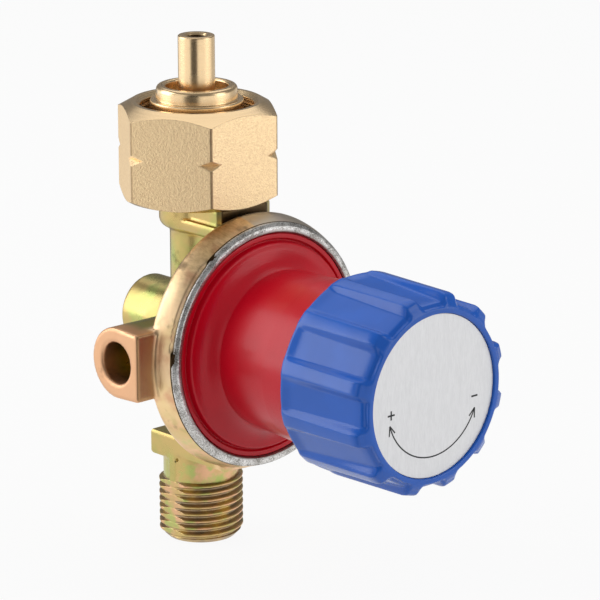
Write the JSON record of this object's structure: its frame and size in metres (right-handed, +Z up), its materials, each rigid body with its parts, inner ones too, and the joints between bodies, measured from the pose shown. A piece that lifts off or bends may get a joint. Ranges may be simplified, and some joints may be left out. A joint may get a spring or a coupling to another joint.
{
  "type": "gas pressure regulator",
  "caption": "Adjustable high-pressure gas regulator with a ribbed knob, flared bonnet, round diaphragm housing, threaded outlet, side port and hexagon union nut on a slim inlet spigot.",
  "frame": {"origin": "centre of the threaded outlet's end face", "axes": "+Z up the column from the outlet to the inlet spigot, -Y out of the adjusting knob's face, -X out of the side port"},
  "size_m": [0.0688, 0.1027, 0.127],
  "materials": {
    "plated_casting": "yellow passivated zinc over cast brass, satin",
    "red_enamel": "glossy red powder coat",
    "bright_brass": "turned and polished",
    "blasted_brass": "blasted flats with machined chamfers",
    "sintered_bronze": "porous sintered",
    "seal_rubber": "moulded, matt",
    "fibre_gasket": "pressed fibre",
    "spring_steel": "drawn wire",
    "bright_steel": "turned, zinc plated",
    "pressed_alloy": "pressed",
    "blue_plastic": "moulded, semi-gloss",
    "label_alloy": "brushed foil"
  },
  "bodies": {
    "housing": {"body_casting": "plated_casting", "bonnet": "red_enamel", "inlet_nipple": "bright_brass", "inlet_filter": "sintered_bronze", "nipple_gasket": "fibre_gasket", "seat_insert": "bright_brass", "seat_gasket": "fibre_gasket", "poppet_spring": "spring_steel", "diaphragm": "seal_rubber", "main_spring": "spring_steel", "screw_bush": "bright_brass"},
    "nut_washer": {"nut_slip_washer": "bright_steel"},
    "nut": {"union_nut": "blasted_brass"},
    "spring_seat": {"spring_button": "pressed_alloy"},
    "adjuster": {"adjusting_screw": "bright_steel", "thrust_ball": "bright_steel", "knob": "blue_plastic", "knob_washer": "bright_steel", "knob_screw": "bright_steel", "label_disc": "label_alloy"},
    "diaphragm_stack": {"diaphragm_lower_plate": "pressed_alloy", "diaphragm_upper_plate": "pressed_alloy", "diaphragm_stud": "bright_steel", "diaphragm_washer": "bright_steel", "diaphragm_nut": "bright_steel"},
    "valve_plug": {"poppet": "bright_brass", "poppet_pad": "seal_rubber", "push_pin": "bright_steel"}
  },
  "joints": [
    {"name": "nut_slide", "type": "slide", "parent": "housing", "child": "nut_washer", "axis": [0, 0, 1], "range_m": [0, 0.0134]},
    {"name": "nut_spin", "type": "hinge", "parent": "nut_washer", "child": "nut", "pos_m": [0, 0, 0.099], "axis": [0, 0, 1], "continuous": true},
    {"name": "screw_advance", "type": "slide", "parent": "housing", "child": "spring_seat", "axis": [0, 1, 0], "range_m": [0, 0.0075], "deforming": ["main_spring"]},
    {"name": "knob_turn", "type": "hinge", "parent": "spring_seat", "child": "adjuster", "pos_m": [0, 0, 0.0542], "axis": [0, 1, 0], "range_deg": [0, 1800]},
    {"name": "diaphragm_lift", "type": "slide", "parent": "housing", "child": "diaphragm_stack", "axis": [0, 1, 0], "range_m": [0, 0.0012], "stiffness_N_per_m": 2000, "deforming": ["diaphragm"]},
    {"name": "poppet_lift", "type": "slide", "parent": "housing", "child": "valve_plug", "axis": [0, 1, 0], "range_m": [0, 0.0012], "deforming": ["poppet_spring"]}
  ],
  "couplings": [
    {"joint": "screw_advance", "follows": "knob_turn", "m_per_rad": 0.00023873},
    {"joint": "poppet_lift", "follows": "diaphragm_lift", "ratio": 1}
  ]
}
